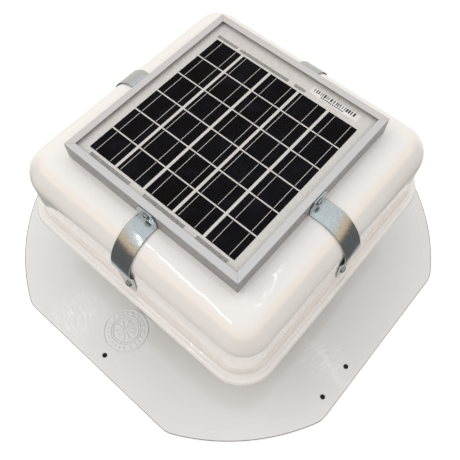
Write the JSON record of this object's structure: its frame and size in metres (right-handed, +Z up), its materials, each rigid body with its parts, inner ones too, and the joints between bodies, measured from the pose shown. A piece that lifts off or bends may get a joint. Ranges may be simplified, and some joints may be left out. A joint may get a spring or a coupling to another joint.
{
  "type": "solar attic fan",
  "caption": "Square white pan hood over a round-throat roof flashing, with a small solar panel strapped on top and a fan wheel on a motor inside.",
  "frame": {"origin": "middle of the flashing's underside, which lies on the roof", "axes": "+Z up through the fan's axis; the panel's short side runs along X and its long side along Y; front is -Y"},
  "size_m": [0.624, 0.624, 0.2763],
  "materials": {
    "grey_enamel": "glossy light grey-white enamel",
    "white_enamel": "glossy warm white enamel",
    "motor_enamel": "satin black paint",
    "zinc_strip": "zinc-plated strip with faint spangle",
    "zinc_fastener": "bright zinc plating",
    "screen_steel": "bare stainless wire",
    "anodised_frame": "matt silver anodised",
    "solar_glass": "clear low-iron glass",
    "cell_sheet": "dark cells on an off-white sheet under encapsulant",
    "black_plastic": "moulded, fine matt",
    "black_rubber": "soft black rubber",
    "bearing_steel": "ground bearing steel",
    "core_steel": "dark laminated steel and ferrite",
    "wheel_aluminium": "mill-finish pressed sheet"
  },
  "bodies": {
    "root": {"bearing_lower": "bearing_steel", "bearing_upper": "bearing_steel", "cell_laminate": "cell_sheet", "exhaust_screen": "screen_steel", "flashing": "grey_enamel", "frame_key_back_left": "zinc_strip", "frame_key_back_right": "zinc_strip", "frame_key_front_left": "zinc_strip", "frame_key_front_right": "zinc_strip", "frame_rail_back": "anodised_frame", "frame_rail_front": "anodised_frame", "frame_rail_left": "anodised_frame", "frame_rail_right": "anodised_frame", "hood": "white_enamel", "hood_leg_back": "zinc_strip", "hood_leg_front": "zinc_strip", "hood_leg_left": "zinc_strip", "hood_leg_right": "zinc_strip", "hood_nut_back": "zinc_fastener", "hood_nut_front": "zinc_fastener", "hood_nut_left": "zinc_fastener", "hood_nut_right": "zinc_fastener", "hood_screw_back": "zinc_fastener", "hood_screw_front": "zinc_fastener", "hood_screw_left": "zinc_fastener", "hood_screw_right": "zinc_fastener", "junction_box": "black_plastic", "junction_gland": "black_plastic", "junction_lid": "black_plastic", "lead_grommet": "black_rubber", "magnet_ring": "core_steel", "motor_can": "motor_enamel", "motor_cap": "black_plastic", "motor_gland": "black_rubber", "motor_screw_1": "zinc_fastener", "motor_screw_2": "zinc_fastener", "motor_strap_lower": "zinc_strip", "motor_strap_upper": "zinc_strip", "panel_lead": "black_rubber", "panel_strap_back": "zinc_strip", "panel_strap_front": "zinc_strip", "panel_strap_left": "zinc_strip", "panel_strap_right": "zinc_strip", "rail_screw_back": "zinc_fastener", "rail_screw_front": "zinc_fastener", "rail_screw_left": "zinc_fastener", "rail_screw_right": "zinc_fastener", "solar_glass": "solar_glass", "strap_rivet_back": "zinc_fastener", "strap_rivet_front": "zinc_fastener", "strap_rivet_left": "zinc_fastener", "strap_rivet_right": "zinc_fastener"},
    "rotor": {"motor_shaft": "bearing_steel", "armature": "core_steel", "fan_hub": "wheel_aluminium", "fan_wheel": "wheel_aluminium", "hub_set_screw": "bearing_steel"}
  },
  "joints": [
    {"name": "fan_spin", "type": "hinge", "parent": "root", "child": "rotor", "pos_m": [0, 0, 0.084], "axis": [0, 0, 1], "continuous": true}
  ]
}
